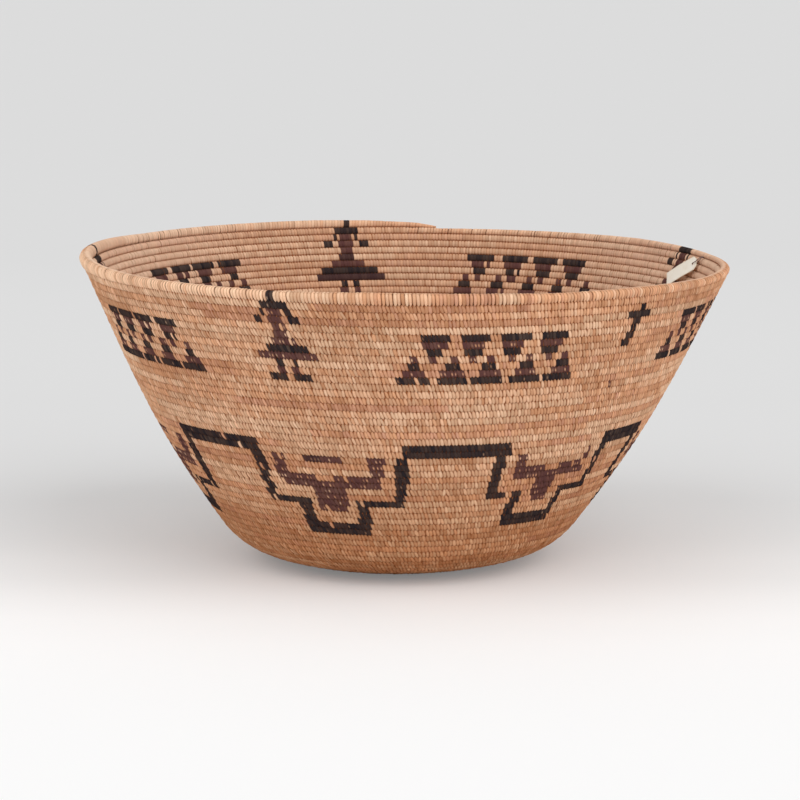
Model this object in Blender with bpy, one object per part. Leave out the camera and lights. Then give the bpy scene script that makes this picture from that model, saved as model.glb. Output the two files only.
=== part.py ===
"""Coiled basketry bowl with a flaring wall and a small paper tag, in metres, +Z up.

The bowl is one long coil of grass, wound in a spiral from the middle of the base to the
rim and sewn turn to turn. It is modelled here in lengths of one or two turns, each a
closed solid of its own that follows the true spiral. The origin is on the floor, under
the middle of the bowl's plan, and -Y is the front.
"""
import math

import bmesh
import bpy
import numpy as np
from mathutils import Matrix, Vector

# Driving dimensions of the coil
COURSE_PITCH = 0.00426       # one turn to the next, measured up the wall
WALL_THICKNESS = 0.0050      # inner face to outer face of a turn
TURN_GAP = 0.00045           # clear space between neighbouring turns
END_GAP = 0.0003             # clear space between two lengths of coil, end to end
STATIONS_PER_TURN = 20       # every turn has its corners at the same angles
START_ANGLE = 72.0           # where the coil begins, from the front towards +X, in degrees
TERMINUS_ANGLE = 174.0       # where it ends on the rim, at the back
START_TURN = 1.0             # turns that the starting knot takes up
FULL_TURNS = 62              # whole turns from the start to the end of the coil

# Slope of the wall's middle line: distance from the centre of the base, degrees from level
WALL_SLOPES = (
    (0.000, 0.0),
    (0.044, 0.0),
    (0.058, 12.0),
    (0.076, 17.0),
    (0.090, 35.0),
    (0.104, 54.0),
    (0.136, 56.0),
    (0.180, 62.0),
    (0.225, 65.4),
    (0.290, 64.7),
)
PROFILE_STEP = 0.0001

# The weaver's hand: the wall leans a little and is a little higher on one side
WALL_LEAN = 0.0049           # how far the rim's centre lies towards +X of the base's
WALL_RISE = -0.006           # share by which the +X side is higher
LEAN_HEIGHT = 0.165          # height at which the lean is measured

# Height of the rim turn: degrees travelled along it, size
RIM_SIZES = (
    (0.0, 0.0038),
    (45.0, 0.0048),
    (72.0, 0.0033),
    (95.0, 0.0034),
    (110.0, 0.0031),
    (132.0, 0.0041),
    (150.0, 0.0040),
    (160.0, 0.0051),
    (180.0, 0.0057),
    (195.0, 0.0045),
    (225.0, 0.0045),
    (240.0, 0.0054),
    (255.0, 0.0066),
    (268.0, 0.0072),
    (280.0, 0.0070),
    (294.0, 0.0057),
    (335.0, 0.0056),
    (346.0, 0.0048),
    (356.0, 0.0032),
    (360.0, 0.0012),
)
RIM_ROUNDNESS = 0.93         # thickness of the swollen rim over its height
RIM_FLATNESS = 1.4           # the same, where the rim is thin

# How the coil is divided: number of lengths, and turns to each of them
HEEL_LENGTHS = 6
HEEL_TURNS = 2
WALL_LENGTHS = 38
WALL_TURNS = 1
END_STATIONS = 2             # whole stations of the tapering end

# Starting knot, a round button of wrapped grass
KNOT_RADIUS = 0.0036
KNOT_SIDES = 16
KNOT_BEVEL = 0.0006

# Paper tag and the thread that holds it
TAG_LENGTH = 0.0260
TAG_WIDTH = 0.0090
TAG_THICKNESS = 0.0004
TAG_CLIP = 0.0021            # corner cut off at the tied end
TAG_HOLE_RADIUS = 0.0009
TAG_HOLE_INSET = 0.0030      # hole's centre from the tied end
TAG_HOLE_SIDES = 12
TAG_ANGLE = 102.5            # where it is tied, from the front towards +X
TAG_DISTANCE = 0.26376       # where along the wall, in the groove under the rim's turn
TAG_END = Vector((0.0009, 0.0038, 0.0022))    # tied end: along the wall, down, away
TAG_RUN = Vector((0.0200, 0.0158, 0.0045))    # the tag's length, the same way
TAG_FALL = Vector((-0.0052, 0.0070, -0.0014))     # its width, the same way
THREAD_RADIUS = 0.0003
THREAD_STEPS = 4             # points to each stretch of the thread's route
FOOT_RISE = 0.0006           # the thread's feet stand this far in from the true wall
THREAD_SPREAD = 0.0008       # half the space between the thread's two feet
THREAD_RISE = 0.0009         # how far the thread stands out from its feet before it turns
THREAD_SAG = 0.0004          # how far it comes down on the way there
THREAD_CLEAR = 0.0009        # thread's middle from the tag's middle

# Colour, roughness and metallic value of each material
TAN_SPLINT = ((0.42, 0.20, 0.10, 1.0), 0.62, 0.0)
RIM_SPLINT = ((0.50, 0.23, 0.10, 1.0), 0.58, 0.0)
BASE_SPLINT = ((0.34, 0.15, 0.08, 1.0), 0.66, 0.0)
TAG_PAPER = ((0.80, 0.76, 0.66, 1.0), 0.85, 0.0)
TAG_THREAD = ((0.10, 0.08, 0.07, 1.0), 0.80, 0.0)


def clear_scene():
    """Remove every object that is in the scene."""
    for obj in list(bpy.data.objects):
        bpy.data.objects.remove(obj, do_unlink=True)


def make_collection(name):
    """Return a new collection linked to the scene."""
    collection = bpy.data.collections.new(name)
    bpy.context.scene.collection.children.link(collection)
    return collection


def make_material(name, finish):
    """Return a Principled material with the finish's colour, roughness and metallic value."""
    colour, roughness, metallic = finish
    material = bpy.data.materials.new(name)
    material.use_nodes = True
    shader = material.node_tree.nodes["Principled BSDF"]
    shader.inputs["Base Color"].default_value = colour
    shader.inputs["Roughness"].default_value = roughness
    shader.inputs["Metallic"].default_value = metallic
    material.diffuse_color = colour
    return material


def wall_profile():
    """Integrate the slopes into the wall's middle line: distance, radius, height, slope."""
    stops = np.array(WALL_SLOPES)
    distance = np.arange(0.0, stops[-1, 0], PROFILE_STEP)
    slope = np.radians(np.interp(distance, stops[:, 0], stops[:, 1]))
    middle = 0.5 * (slope[1:] + slope[:-1])
    radius = np.concatenate([[0.0], np.cumsum(np.cos(middle) * PROFILE_STEP)])
    rise = np.concatenate([[0.0], np.cumsum(np.sin(middle) * PROFILE_STEP)])
    return distance, radius, rise + WALL_THICKNESS / 2.0, slope


PROFILE = wall_profile()
TERMINUS_TURN = FULL_TURNS + (START_ANGLE - TERMINUS_ANGLE + 360.0) / 360.0
TERMINUS_STATION = TERMINUS_TURN * STATIONS_PER_TURN
RIM_STATION = int(TERMINUS_STATION) - STATIONS_PER_TURN
FIRST_STATION = int(START_TURN * STATIONS_PER_TURN)

# Corners stand outside the true circle by as much as the middles of the sides fall inside
CORNER_SPREAD = 2.0 / (1.0 + math.cos(math.pi / STATIONS_PER_TURN))


def leaning_point(angle, distance, offset, spread=1.0):
    """Return a point of the wall, measured from the middle of the base.

    angle is in degrees from the front towards +X, distance runs along the wall from the
    centre of the base, offset is outwards from the wall's middle line, and spread
    enlarges the radius.
    """
    along, radii, heights, slopes = PROFILE
    radius = np.interp(distance, along, radii)
    height = np.interp(distance, along, heights)
    slope = np.interp(distance, along, slopes)
    radius = spread * (radius + offset * math.sin(slope))
    height = height - offset * math.cos(slope)
    turn = math.radians(angle)
    lean = WALL_LEAN * height / LEAN_HEIGHT
    return Vector((
        radius * math.sin(turn) + lean,
        -radius * math.cos(turn),
        height * (1.0 + WALL_RISE * math.sin(turn)),
    ))


def course_size(station):
    """Return the height and thickness of the coil at a station."""
    travelled = (station - TERMINUS_STATION) / STATIONS_PER_TURN * 360.0 + 360.0
    if travelled <= 0.0:
        return COURSE_PITCH, WALL_THICKNESS
    angles, sizes = zip(*RIM_SIZES)
    height = float(np.interp(travelled, angles, sizes))
    thickness = max(height * RIM_ROUNDNESS, min(WALL_THICKNESS, height * RIM_FLATNESS))
    return height, thickness


def leaning_section(station):
    """Return the coil's six corners at a station, measured from the middle of the base.

    The outer and inner faces are flat, and the turns meet edge to edge between them.
    """
    angle = START_ANGLE - 360.0 * station / STATIONS_PER_TURN
    height, thickness = course_size(station)
    low = station / STATIONS_PER_TURN * COURSE_PITCH
    half = (height - TURN_GAP) / 2.0
    middle = low + height / 2.0
    corners = (
        (middle + half, 0.0),
        (middle + half / 2.0, thickness / 2.0),
        (middle - half / 2.0, thickness / 2.0),
        (middle - half, 0.0),
        (middle - half / 2.0, -thickness / 2.0),
        (middle + half / 2.0, -thickness / 2.0),
    )
    return [leaning_point(angle, distance, offset, CORNER_SPREAD)
            for distance, offset in corners]


def plan_middle():
    """Return the middle of the bowl's plan, which the two turns at the rim decide."""
    stations = range(RIM_STATION - STATIONS_PER_TURN, int(TERMINUS_STATION) + 1)
    corners = [corner for station in stations for corner in leaning_section(station)]
    spans = [(min(values), max(values)) for values in zip(*(corner.xy for corner in corners))]
    return Vector([(low + high) / 2.0 for low, high in spans] + [0.0])


PLAN_MIDDLE = plan_middle()


def wall_point(angle, distance, offset):
    """Return a point of the wall, with the origin under the middle of the bowl's plan."""
    return leaning_point(angle, distance, offset) - PLAN_MIDDLE


def coil_section(station):
    """Return the coil's six corners at a station, or on the straight way to the next."""
    whole = math.floor(station)
    before = [corner - PLAN_MIDDLE for corner in leaning_section(whole)]
    after = [corner - PLAN_MIDDLE for corner in leaning_section(whole + 1)]
    return [start.lerp(end, station - whole) for start, end in zip(before, after)]


def station_arc(station):
    """Return how far the coil runs between this station and the next."""
    return (coil_section(station + 1)[0] - coil_section(station)[0]).length


def make_coil(name, first, last, material, collection):
    """Sweep the coil from one station to another as a closed solid.

    A section is extruded from station to station, and both ends stop short by half of
    the gap that lies between two lengths.
    """
    start = first + END_GAP / 2.0 / station_arc(math.floor(first))
    end = last - END_GAP / 2.0 / station_arc(math.ceil(last) - 1)
    stops = list(range(math.floor(first) + 1, math.ceil(last))) + [end]
    sweep = bmesh.new()
    corner = sweep.verts.layers.int.new("corner")
    ring = [sweep.verts.new(point) for point in coil_section(start)]
    for number, vert in enumerate(ring):
        vert[corner] = number
    cap = sweep.faces.new(ring)
    face = cap
    for stop in stops:
        extruded = bmesh.ops.extrude_face_region(sweep, geom=[face])["geom"]
        if face != cap:
            bmesh.ops.delete(sweep, geom=[face], context="FACES_ONLY")
        face = next(item for item in extruded if isinstance(item, bmesh.types.BMFace))
        section = coil_section(stop)
        for vert in face.verts:
            vert.co = section[vert[corner]]
    bmesh.ops.recalc_face_normals(sweep, faces=sweep.faces[:])
    mesh = bpy.data.meshes.new(name)
    sweep.to_mesh(mesh)
    sweep.free()
    mesh.materials.append(material)
    obj = bpy.data.objects.new(name, mesh)
    collection.objects.link(obj)
    return obj


def least_turn_gap():
    """Measure the clear space from each turn to the next, at every station."""
    gaps = []
    for station in range(FIRST_STATION, int(TERMINUS_STATION) - STATIONS_PER_TURN):
        below = coil_section(station)
        above = coil_section(station + STATIONS_PER_TURN)
        gaps.extend((low - high).length for low in below for high in above)
    return min(gaps)


def make_knot(material, collection):
    """Make the round start of the coil, a button that the first turn goes around."""
    button = bmesh.new()
    bmesh.ops.create_cone(
        button,
        cap_ends=True,
        segments=KNOT_SIDES,
        radius1=KNOT_RADIUS,
        radius2=KNOT_RADIUS,
        depth=WALL_THICKNESS,
        matrix=Matrix.Translation(wall_point(0.0, 0.0, 0.0)),
    )
    rims = [edge for edge in button.edges if len(edge.link_faces) == 2
            and edge.calc_face_angle() > 1.0]
    bmesh.ops.bevel(
        button, geom=rims, offset=KNOT_BEVEL, segments=2, profile=0.5, affect="EDGES",
        material=-1,
    )
    mesh = bpy.data.meshes.new("start_knot")
    button.to_mesh(mesh)
    button.free()
    mesh.materials.append(material)
    mesh.shade_smooth()
    mesh.set_sharp_from_angle(angle=math.radians(40.0))
    obj = bpy.data.objects.new("start_knot", mesh)
    collection.objects.link(obj)
    return obj


def tag_directions():
    """Return how the tag hangs.

    These are the thread's foot, the directions along the wall, down it and inwards, the
    middle of the tag's tied end, and the directions of its length and of its width. The
    flat sides of the turns stand in from the true wall, and so does the foot.
    """
    face = -WALL_THICKNESS / 2.0
    tie = wall_point(TAG_ANGLE, TAG_DISTANCE, face)
    ahead = wall_point(TAG_ANGLE + 1.0, TAG_DISTANCE, face)
    along = ahead - wall_point(TAG_ANGLE - 1.0, TAG_DISTANCE, face)
    down = wall_point(TAG_ANGLE, TAG_DISTANCE - COURSE_PITCH, face) - tie
    inward = wall_point(TAG_ANGLE, TAG_DISTANCE, 2.0 * face) - tie
    along.normalize()
    down.normalize()
    inward.normalize()
    end = tie + along * TAG_END.x + down * TAG_END.y + inward * TAG_END.z
    run = along * TAG_RUN.x + down * TAG_RUN.y + inward * TAG_RUN.z
    run.normalize()
    fall = along * TAG_FALL.x + down * TAG_FALL.y + inward * TAG_FALL.z
    fall = (fall - run * fall.dot(run)).normalized()
    return tie + inward * FOOT_RISE, along, down, inward, end, run, fall


def outline_spline(curve, points):
    """Add a closed straight-sided outline to a flat curve."""
    spline = curve.splines.new("POLY")
    spline.points.add(len(points) - 1)
    for point, (x, y) in zip(spline.points, points):
        point.co = (x, y, 0.0, 1.0)
    spline.use_cyclic_u = True


def curve_to_mesh(name, curve, place, material, collection):
    """Turn a curve into a welded mesh object that stands where the curve stood."""
    guide = bpy.data.objects.new(name + "_guide", curve)
    collection.objects.link(guide)
    guide.matrix_world = place
    bpy.context.view_layer.update()
    evaluated = guide.evaluated_get(bpy.context.evaluated_depsgraph_get())
    mesh = bpy.data.meshes.new_from_object(evaluated)
    mesh.name = name
    weld = bmesh.new()
    weld.from_mesh(mesh)
    bmesh.ops.remove_doubles(weld, verts=weld.verts[:], dist=1e-6)
    bmesh.ops.recalc_face_normals(weld, faces=weld.faces[:])
    weld.to_mesh(mesh)
    weld.free()
    mesh.materials.clear()
    mesh.materials.append(material)
    obj = bpy.data.objects.new(name, mesh)
    collection.objects.link(obj)
    obj.matrix_world = place
    bpy.data.objects.remove(guide, do_unlink=True)
    return obj


def make_tag(material, collection):
    """Make the paper strip: two corners clipped at the tied end, and a hole there."""
    _, _, _, inward, end, run, fall = tag_directions()
    facing = run.cross(fall)
    if facing.dot(inward) < 0.0:
        facing.negate()
    side = facing.cross(run)
    place = Matrix.Translation(end) @ Matrix((run, side, facing)).transposed().to_4x4()
    half = TAG_WIDTH / 2.0
    curve = bpy.data.curves.new("tag", "CURVE")
    curve.dimensions = "2D"
    curve.fill_mode = "BOTH"
    curve.extrude = TAG_THICKNESS / 2.0
    outline_spline(curve, (
        (0.0, TAG_CLIP - half),
        (TAG_CLIP, -half),
        (TAG_LENGTH, -half),
        (TAG_LENGTH, half),
        (TAG_CLIP, half),
        (0.0, half - TAG_CLIP),
    ))
    turns = [math.tau * side_number / TAG_HOLE_SIDES for side_number in range(TAG_HOLE_SIDES)]
    outline_spline(curve, [
        (TAG_HOLE_INSET + TAG_HOLE_RADIUS * math.cos(turn), TAG_HOLE_RADIUS * math.sin(turn))
        for turn in turns
    ])
    return curve_to_mesh("tag", curve, place, material, collection)


def smooth_route(points, steps):
    """Return points on a smooth curve through the given ones, steps to each stretch."""
    padded = [points[0]] + list(points) + [points[-1]]
    route = []
    for before, start, end, after in zip(padded, padded[1:], padded[2:], padded[3:]):
        for step in range(steps):
            part = step / steps
            route.append(0.5 * (
                2.0 * start
                + (end - before) * part
                + (2.0 * before - 5.0 * start + 4.0 * end - after) * part ** 2
                + (3.0 * start - before - 3.0 * end + after) * part ** 3
            ))
    return route + [points[-1]]


def make_thread(material, collection):
    """Make the loop of thread: out of the wall, through the tag's hole and back."""
    foot, along, down, inward, end, run, fall = tag_directions()
    facing = run.cross(fall)
    if facing.dot(inward) < 0.0:
        facing.negate()
    rise = inward * THREAD_RISE + down * THREAD_SAG
    hole = end + run * TAG_HOLE_INSET
    corners = (
        foot + along * THREAD_SPREAD,
        foot + along * THREAD_SPREAD + rise,
        end - run * THREAD_CLEAR / 2.0 + facing * THREAD_CLEAR,
        hole - run * THREAD_CLEAR / 2.0 + facing * THREAD_CLEAR,
        hole,
        hole - run * THREAD_CLEAR / 2.0 - facing * THREAD_CLEAR,
        end - facing * THREAD_CLEAR,
        foot - along * THREAD_SPREAD + rise,
        foot - along * THREAD_SPREAD,
    )
    route = smooth_route(corners, THREAD_STEPS)
    curve = bpy.data.curves.new("tag_thread", "CURVE")
    curve.dimensions = "3D"
    curve.bevel_depth = THREAD_RADIUS
    curve.bevel_resolution = 2
    curve.use_fill_caps = True
    spline = curve.splines.new("POLY")
    spline.points.add(len(route) - 1)
    for point, place in zip(spline.points, route):
        point.co = (place.x, place.y, place.z, 1.0)
    return curve_to_mesh("tag_thread", curve, Matrix(), material, collection)


def make_swing(pieces, collection):
    """Parent the tag and its thread to an empty at the foot of the thread."""
    pivot, along, _, _, _, _, _ = tag_directions()
    swing = bpy.data.objects.new("tag_swing_axis", None)
    swing.empty_display_type = "SINGLE_ARROW"
    swing.empty_display_size = 0.01
    collection.objects.link(swing)
    turn = along.to_track_quat("Z", "Y").to_matrix().to_4x4()
    swing.matrix_world = Matrix.Translation(pivot) @ turn
    bpy.context.view_layer.update()
    for piece in pieces:
        piece.parent = swing
        piece.matrix_parent_inverse = swing.matrix_world.inverted()
    print("tag swings about", [round(value, 5) for value in pivot],
          "along", [round(value, 5) for value in along])


def main():
    """Build the bowl, length by length from the middle of the base, and then the tag."""
    clear_scene()
    collection = make_collection("coiled_basketry_bowl")
    tan = make_material("tan_splint", TAN_SPLINT)
    rim = make_material("rim_splint", RIM_SPLINT)
    base = make_material("base_splint", BASE_SPLINT)
    paper = make_material("tag_paper", TAG_PAPER)
    thread = make_material("tag_thread", TAG_THREAD)

    make_knot(base, collection)
    heel_stations = HEEL_TURNS * STATIONS_PER_TURN
    wall_stations = WALL_TURNS * STATIONS_PER_TURN
    first = RIM_STATION - HEEL_LENGTHS * heel_stations - WALL_LENGTHS * wall_stations
    make_coil("base_coil", FIRST_STATION, first, base, collection)
    for number in range(1, HEEL_LENGTHS + 1):
        make_coil(f"heel_coil_{number:02d}", first, first + heel_stations, tan, collection)
        first += heel_stations
    for number in range(1, WALL_LENGTHS + 1):
        make_coil(f"wall_coil_{number:02d}", first, first + wall_stations, tan, collection)
        first += wall_stations
    end_station = int(TERMINUS_STATION) - END_STATIONS
    make_coil("rim_coil", RIM_STATION, end_station, rim, collection)
    make_coil("coil_end", end_station, TERMINUS_STATION, rim, collection)
    print("least gap between turns:", round(least_turn_gap() * 1000.0, 3), "mm")

    tag = make_tag(paper, collection)
    loop = make_thread(thread, collection)
    make_swing((tag, loop), collection)


main()
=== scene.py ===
"""Coiled basketry bowl: every stitch of the coil, its dyed figures, the paper tag and its thread.

The coil is one bundle of grass, wound in a spiral and sewn with flat splints. Each length
of it here is a row of closed stitches round a dark bundle, bent onto the spiral of the
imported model, and the figures are the stitches sewn with dyed splints.
"""

import logging
import math
from dataclasses import dataclass
from enum import Enum
from functools import cached_property

import bmesh
import bpy
import numpy as np
from mathutils import Matrix, Vector


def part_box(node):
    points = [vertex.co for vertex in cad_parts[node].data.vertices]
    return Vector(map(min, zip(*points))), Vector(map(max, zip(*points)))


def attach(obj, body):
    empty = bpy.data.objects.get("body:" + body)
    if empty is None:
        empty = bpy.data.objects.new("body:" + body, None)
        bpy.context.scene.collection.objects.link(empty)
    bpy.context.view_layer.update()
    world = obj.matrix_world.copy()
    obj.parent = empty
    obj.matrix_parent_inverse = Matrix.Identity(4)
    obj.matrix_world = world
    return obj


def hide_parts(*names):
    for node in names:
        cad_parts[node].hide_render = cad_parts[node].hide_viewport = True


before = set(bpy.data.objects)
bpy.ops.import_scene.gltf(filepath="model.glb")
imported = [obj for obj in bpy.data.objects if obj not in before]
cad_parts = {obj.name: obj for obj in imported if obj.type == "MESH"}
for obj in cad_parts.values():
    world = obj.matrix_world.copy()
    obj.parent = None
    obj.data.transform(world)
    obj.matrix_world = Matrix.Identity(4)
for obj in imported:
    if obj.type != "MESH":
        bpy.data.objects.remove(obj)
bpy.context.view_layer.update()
LOG = logging.getLogger("basketry_bowl")
BAKE_MAP = "OFBake"
TARGET_HEIGHT = 0.165

Colour = tuple[float, float, float, float]


def srgb(red: float, green: float, blue: float) -> Colour:
    """Turn a colour of 0 to 255 as seen on a screen into linear light.

    Args:
        red: Red, 0 to 255.
        green: Green, 0 to 255.
        blue: Blue, 0 to 255.

    Returns:
        The linear colour with an alpha of 1.
    """
    parts = [value / 255.0 for value in (red, green, blue)]
    linear = [part / 12.92 if part <= 0.04045 else ((part + 0.055) / 1.055) ** 2.4
              for part in parts]
    return (linear[0], linear[1], linear[2], 1.0)


class Body(Enum):
    """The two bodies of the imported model."""

    BOWL = "bowl"
    TAG = "tag"


class Dye(Enum):
    """What a splint is dyed, as shares of brown and of black."""

    PLAIN = (0.0, 0.0)
    BROWN = (1.0, 0.0)
    DARK = (1.0, 0.55)
    BLACK = (0.0, 1.0)


@dataclass(frozen=True)
class CoilPath:
    """The spiral that the coil follows, from the middle of the base to its end on the rim.

    A turn is a number of windings from the start, and an angle is in degrees from the
    front of the bowl towards +X.
    """

    base_x: float
    base_y: float
    pitch: float = 0.00426
    thickness: float = 0.0050
    start_angle: float = 72.0
    terminus_angle: float = 174.0
    full_turns: int = 62
    lean: float = 0.0049
    rise: float = -0.006
    lean_height: float = 0.165
    rim_roundness: float = 0.93
    rim_flatness: float = 1.4
    step: float = 0.0001
    slopes: tuple[tuple[float, float], ...] = (
        (0.000, 0.0), (0.044, 0.0), (0.058, 12.0), (0.076, 17.0), (0.090, 35.0),
        (0.104, 54.0), (0.136, 56.0), (0.180, 62.0), (0.225, 65.4), (0.290, 64.7),
    )
    rim_sizes: tuple[tuple[float, float], ...] = (
        (0.0, 0.0038), (45.0, 0.0048), (72.0, 0.0033), (95.0, 0.0034), (110.0, 0.0031),
        (132.0, 0.0041), (150.0, 0.0040), (160.0, 0.0051), (180.0, 0.0057), (195.0, 0.0045),
        (225.0, 0.0045), (240.0, 0.0054), (255.0, 0.0066), (268.0, 0.0072), (280.0, 0.0070),
        (294.0, 0.0057), (335.0, 0.0056), (346.0, 0.0048), (356.0, 0.0032), (360.0, 0.0012),
    )

    @cached_property
    def profile(self) -> tuple[np.ndarray, np.ndarray, np.ndarray, np.ndarray]:
        """Integrate the slopes into the wall's middle line.

        Returns:
            Distances along the wall, and the radii, heights and slopes there.
        """
        stops = np.array(self.slopes)
        distance = np.arange(0.0, stops[-1, 0], self.step)
        slope = np.radians(np.interp(distance, stops[:, 0], stops[:, 1]))
        middle = 0.5 * (slope[1:] + slope[:-1])
        radius = np.concatenate([[0.0], np.cumsum(np.cos(middle) * self.step)])
        rise = np.concatenate([[0.0], np.cumsum(np.sin(middle) * self.step)])
        return distance, radius, rise + self.thickness / 2.0, slope

    @property
    def terminus_turn(self) -> float:
        """Return the turn at which the coil ends."""
        return self.full_turns + (self.start_angle - self.terminus_angle + 360.0) / 360.0

    @cached_property
    def length_table(self) -> tuple[np.ndarray, np.ndarray]:
        """Add up the coil from the middle of the base.

        Returns:
            Turns, and how much coil has been used up to each of them.
        """
        turns = np.arange(0.0, self.terminus_turn + 0.01, 0.01)
        distance, radius, _, _ = self.profile
        radii = np.interp((turns + 0.5) * self.pitch, distance, radius)
        arcs = math.tau * 0.5 * (radii[1:] + radii[:-1]) * np.diff(turns)
        return turns, np.concatenate([[0.0], np.cumsum(arcs)])

    def length_at(self, turn: float) -> float:
        """Return how much coil has been used up to a turn."""
        return float(np.interp(turn, *self.length_table))

    def turns_at(self, lengths: np.ndarray) -> np.ndarray:
        """Return the turns at which these lengths of coil are used up."""
        turns, used = self.length_table
        return np.interp(lengths, used, turns)

    def circumference(self, turns: np.ndarray) -> np.ndarray:
        """Return the length of coil that one winding takes at each turn."""
        distance, radius, _, _ = self.profile
        return math.tau * np.interp((turns + 0.5) * self.pitch, distance, radius)

    def course(self, turns: np.ndarray) -> tuple[np.ndarray, np.ndarray]:
        """Work out the coil's section, which changes along its last turn.

        Args:
            turns: Where along the coil.

        Returns:
            The height and the thickness of the coil there.
        """
        travelled = (turns - self.terminus_turn) * 360.0 + 360.0
        angles, sizes = zip(*self.rim_sizes)
        height = np.interp(travelled, angles, sizes)
        height = np.where(travelled <= 0.0, self.pitch, height)
        thin = np.minimum(self.thickness, height * self.rim_flatness)
        swollen = np.maximum(height * self.rim_roundness, thin)
        return height, np.where(travelled <= 0.0, self.thickness, swollen)

    def points(self, angles: np.ndarray, distances: np.ndarray, offsets: np.ndarray) -> np.ndarray:
        """Return points of the wall.

        Args:
            angles: Degrees from the front towards +X.
            distances: Metres along the wall from the middle of the base.
            offsets: Metres outwards from the wall's middle line.

        Returns:
            One row of x, y and z for each point, in metres.
        """
        along, radii, heights, slopes = self.profile
        slope = np.interp(distances, along, slopes)
        radius = np.interp(distances, along, radii) + offsets * np.sin(slope)
        height = np.interp(distances, along, heights) - offsets * np.cos(slope)
        turn = np.radians(angles)
        return np.stack([
            radius * np.sin(turn) + self.lean * height / self.lean_height + self.base_x,
            -radius * np.cos(turn) + self.base_y,
            height * (1.0 + self.rise * np.sin(turn)),
        ], axis=-1)

    def coil_points(self, turns: np.ndarray, lift: np.ndarray, reach: np.ndarray,
                    raised: np.ndarray | float = 0.0) -> np.ndarray:
        """Return points of the coil's own cross-section.

        Args:
            turns: Where along the coil.
            lift: Up the wall, -1 at the foot of the coil to 1 at its top.
            reach: Outwards, -1 at the coil's inner face to 1 at its outer face.
            raised: Metres that the point stands out further.

        Returns:
            One row of x, y and z for each point, in metres.
        """
        height, thickness = self.course(turns)
        distances = turns * self.pitch + height / 2.0 * (1.0 + lift)
        offsets = reach * thickness / 2.0 + np.sign(reach) * raised
        return self.points(self.start_angle - 360.0 * turns, distances, offsets)

    def point(self, angle: float, distance: float, offset: float) -> Vector:
        """Return one point of the wall."""
        return Vector(self.points(np.array(angle), np.array(distance), np.array(offset)))

    def rows_and_angles(self, turns: np.ndarray) -> tuple[np.ndarray, np.ndarray]:
        """Count the rows of the chart.

        Args:
            turns: Where along the coil.

        Returns:
            Each turn's row, counted down from 0 at the rim, and its angle.
        """
        angles = (self.start_angle - 360.0 * turns) % 360.0
        behind = ((self.terminus_angle - angles) % 360.0) / 360.0
        rows = np.round(self.terminus_turn - 1.0 + behind - turns).astype(int)
        return rows, angles


@dataclass(frozen=True)
class Bar:
    """Neighbouring stitches of one row that are sewn with the same dyed splint."""

    row: int
    start: float
    end: float
    dye: Dye


Span = tuple[int, float, float, Dye]


@dataclass(frozen=True)
class Figure:
    """A standing figure in a skirt, in spans of degrees about its own middle."""

    centre: float
    spans: tuple[Span, ...]
    row_shift: int = 0

    def bars(self) -> list[Bar]:
        """Return the figure's bars."""
        return [Bar(row + self.row_shift, self.centre + start, self.centre + end, dye)
                for row, start, end, dye in self.spans if row + self.row_shift >= 0]


FRONT_FIGURE: tuple[Span, ...] = (
    (0, -0.85, 0.35, Dye.BLACK),
    (1, -2.5, 2.35, Dye.BLACK),
    (2, -2.4, -1.9, Dye.BLACK), (2, -1.25, 0.95, Dye.BROWN), (2, 1.85, 2.6, Dye.BLACK),
    (3, -4.25, -2.5, Dye.BLACK), (3, -1.25, 1.25, Dye.BROWN), (3, 2.5, 4.25, Dye.BLACK),
    (4, -1.15, 1.35, Dye.BROWN),
    (5, -1.15, 1.35, Dye.BROWN),
    (6, -1.8, 1.45, Dye.BROWN), (6, 2.35, 2.85, Dye.BROWN),
    (7, -3.05, 4.95, Dye.BLACK),
    (8, -4.5, 6.35, Dye.BROWN),
    (9, -1.05, 0.1, Dye.BLACK), (9, 1.7, 2.85, Dye.BLACK),
    (10, -1.1, 0.15, Dye.BROWN), (10, 1.65, 2.95, Dye.BROWN),
    (11, -3.05, 0.35, Dye.BLACK), (11, 1.5, 5.35, Dye.BLACK),
)
BACK_FIGURE: tuple[Span, ...] = (
    (0, -0.9, 0.75, Dye.BLACK),
    (1, -2.3, 2.4, Dye.BLACK),
    (2, -2.4, -1.8, Dye.BLACK), (2, -1.2, 1.5, Dye.BROWN), (2, 2.0, 2.6, Dye.BLACK),
    (3, -4.4, -2.8, Dye.BLACK), (3, -1.2, 1.5, Dye.BROWN), (3, 3.0, 4.8, Dye.BLACK),
    (4, -1.2, 1.5, Dye.BROWN),
    (5, -1.45, 1.6, Dye.DARK),
    (6, -3.3, 3.5, Dye.BROWN),
    (7, -6.4, 5.7, Dye.BLACK),
    (8, -7.7, 6.8, Dye.DARK),
    (9, -2.55, -1.1, Dye.BLACK), (9, 0.2, 1.85, Dye.BLACK),
    (10, -2.55, -1.1, Dye.BROWN), (10, 0.2, 1.85, Dye.BROWN),
    (11, -4.4, -1.0, Dye.BLACK), (11, 0.1, 3.6, Dye.BLACK),
)


@dataclass(frozen=True)
class TrianglePanel:
    """A row of hanging triangles over a row of standing ones, in black and brown bands."""

    hanging: tuple[float, ...]
    standing: tuple[float, ...]
    row_shift: int = 0
    width: float = 1.0

    def bars(self) -> list[Bar]:
        """Lay out the panel.

        Returns:
            The bars of each hanging triangle and then of each standing one.
        """
        hanging = ((5, 2.8, Dye.BLACK), (6, 2.0, Dye.BROWN), (7, 1.45, Dye.BLACK),
                   (8, 0.72, Dye.BROWN))
        standing = ((8, 0.72, Dye.BROWN), (9, 1.3, Dye.BLACK), (10, 2.0, Dye.BROWN),
                    (11, 2.9, Dye.BLACK))
        made = []
        for centres, bands in ((self.hanging, hanging), (self.standing, standing)):
            for centre in centres:
                for row, half, dye in bands:
                    half = half * self.width
                    made.append(Bar(row + self.row_shift, centre - half, centre + half, dye))
        return made


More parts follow.
